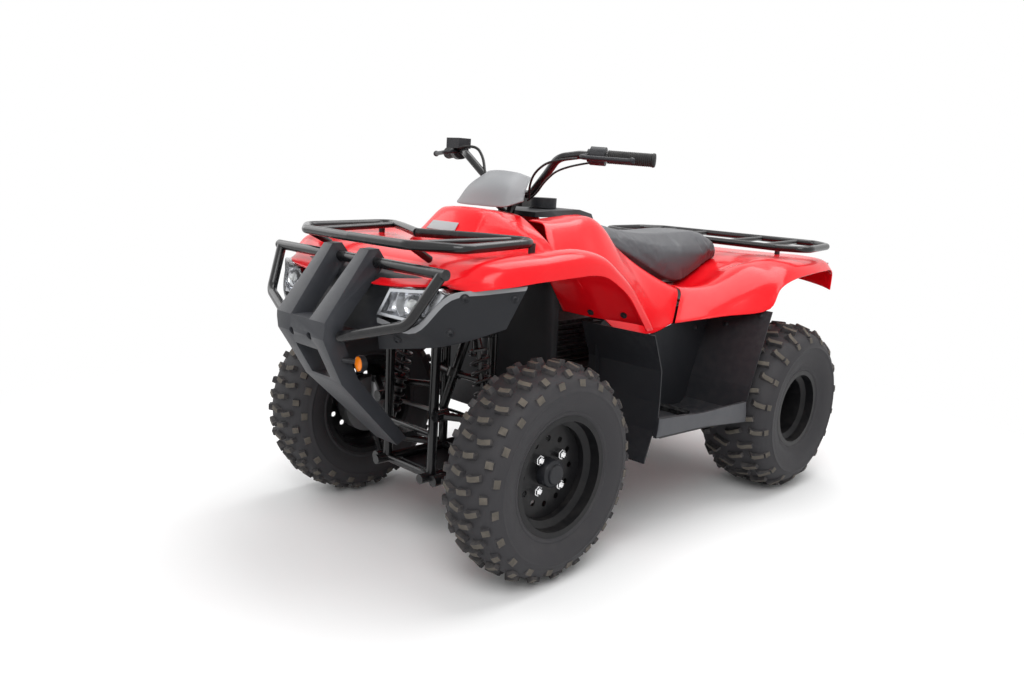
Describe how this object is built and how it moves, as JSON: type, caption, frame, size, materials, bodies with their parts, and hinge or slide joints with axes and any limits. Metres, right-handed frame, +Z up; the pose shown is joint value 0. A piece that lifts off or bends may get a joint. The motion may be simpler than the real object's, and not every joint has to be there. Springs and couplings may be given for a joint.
{
  "type": "quad bike",
  "caption": "Utility quad bike: straddle seat, handlebar steering of two front wheels, solid rear axle, low-pressure tyres, front and rear racks and a front guard.",
  "frame": {"origin": "on the floor, under the middle of the machine's box", "axes": "+Z up, front toward -Y, the rider's left side toward +X"},
  "size_m": [1.034, 1.903, 1.077],
  "materials": {
    "red_panel": "glossy moulded colour",
    "dark_plastic": "matte moulded grain",
    "grey_plastic": "satin moulded",
    "black_steel": "satin black paint",
    "rim_paint": "satin black paint",
    "tyre": "matte rubber",
    "seat_vinyl": "grained vinyl",
    "engine_metal": "painted casting",
    "cast_metal": "sand cast",
    "lamp_lens": "clear lens",
    "amber_lens": "ribbed amber lens",
    "red_lens": "ribbed red lens",
    "grip_rubber": "ribbed rubber",
    "bright_steel": "zinc plated"
  },
  "bodies": {
    "chassis": {"lower_arms": "black_steel", "upper_arms": "black_steel", "front_shocks": "black_steel", "main_frame": "black_steel", "engine": "engine_metal", "skid_plate": "dark_plastic", "swingarm": "black_steel", "final_drive": "engine_metal", "rear_shock": "black_steel", "exhaust_pipe": "bright_steel", "muffler": "black_steel", "front_fender": "red_panel", "nose_cowl": "red_panel", "tank_cover": "red_panel", "tank_top": "dark_plastic", "fuel_cap": "dark_plastic", "rear_fender": "red_panel", "seat": "seat_vinyl", "footwell_left": "dark_plastic", "footwell_right": "dark_plastic", "foot_pegs": "black_steel", "bumper_guard": "grey_plastic", "bumper_tubes": "black_steel", "front_rack": "black_steel", "rear_rack": "black_steel", "headlamps": "lamp_lens", "grille_panel": "dark_plastic", "fender_trims": "grey_plastic", "reflectors": "amber_lens", "tail_lamps": "red_lens"},
    "steering": {"steering_column": "black_steel", "handlebar": "black_steel", "hand_grips": "grip_rubber", "left_controls": "dark_plastic", "right_controls": "dark_plastic", "bar_cover": "grey_plastic"},
    "left_knuckle": {"knuckle_left": "cast_metal"},
    "right_knuckle": {"knuckle_right": "cast_metal"},
    "left_tie_rod": {"tie_rod_left": "bright_steel"},
    "right_tie_rod": {"tie_rod_right": "bright_steel"},
    "left_front_wheel": {"front_tyre_left": "tyre", "front_rim_left": "rim_paint", "front_hub_left": "cast_metal"},
    "right_front_wheel": {"front_tyre_right": "tyre", "front_rim_right": "rim_paint", "front_hub_right": "cast_metal"},
    "rear_wheels": {"rear_tyres": "tyre", "rear_rims": "rim_paint", "rear_axle": "bright_steel"}
  },
  "joints": [
    {"name": "steering_turn", "type": "hinge", "parent": "chassis", "child": "steering", "pos_m": [0, -0.39348, 0.6], "axis": [0, 0.3746, 0.9272], "range_deg": [-32, 32]},
    {"name": "left_kingpin", "type": "hinge", "parent": "chassis", "child": "left_knuckle", "pos_m": [0.29, -0.513, 0.275], "axis": [0, 0, 1], "range_deg": [-32, 32]},
    {"name": "left_tie_rod_pin", "type": "hinge", "parent": "left_knuckle", "child": "left_tie_rod", "pos_m": [0.308, -0.455, 0.291], "axis": [0, 0, 1], "range_deg": [-32, 32]},
    {"name": "left_front_wheel_spin", "type": "hinge", "parent": "left_knuckle", "child": "left_front_wheel", "pos_m": [0.39, -0.513, 0.275], "axis": [1, 0, 0], "continuous": true},
    {"name": "right_kingpin", "type": "hinge", "parent": "chassis", "child": "right_knuckle", "pos_m": [-0.29, -0.513, 0.275], "axis": [0, 0, 1], "range_deg": [-32, 32]},
    {"name": "right_tie_rod_pin", "type": "hinge", "parent": "right_knuckle", "child": "right_tie_rod", "pos_m": [-0.308, -0.455, 0.291], "axis": [0, 0, 1], "range_deg": [-32, 32]},
    {"name": "right_front_wheel_spin", "type": "hinge", "parent": "right_knuckle", "child": "right_front_wheel", "pos_m": [-0.39, -0.513, 0.275], "axis": [1, 0, 0], "continuous": true},
    {"name": "rear_axle_spin", "type": "hinge", "parent": "chassis", "child": "rear_wheels", "pos_m": [0, 0.618, 0.275], "axis": [1, 0, 0], "continuous": true}
  ],
  "couplings": [
    {"joint": "left_kingpin", "follows": "steering_turn", "ratio": 1},
    {"joint": "left_tie_rod_pin", "follows": "steering_turn", "ratio": -1},
    {"joint": "right_kingpin", "follows": "steering_turn", "ratio": 1},
    {"joint": "right_tie_rod_pin", "follows": "steering_turn", "ratio": -1}
  ]
}
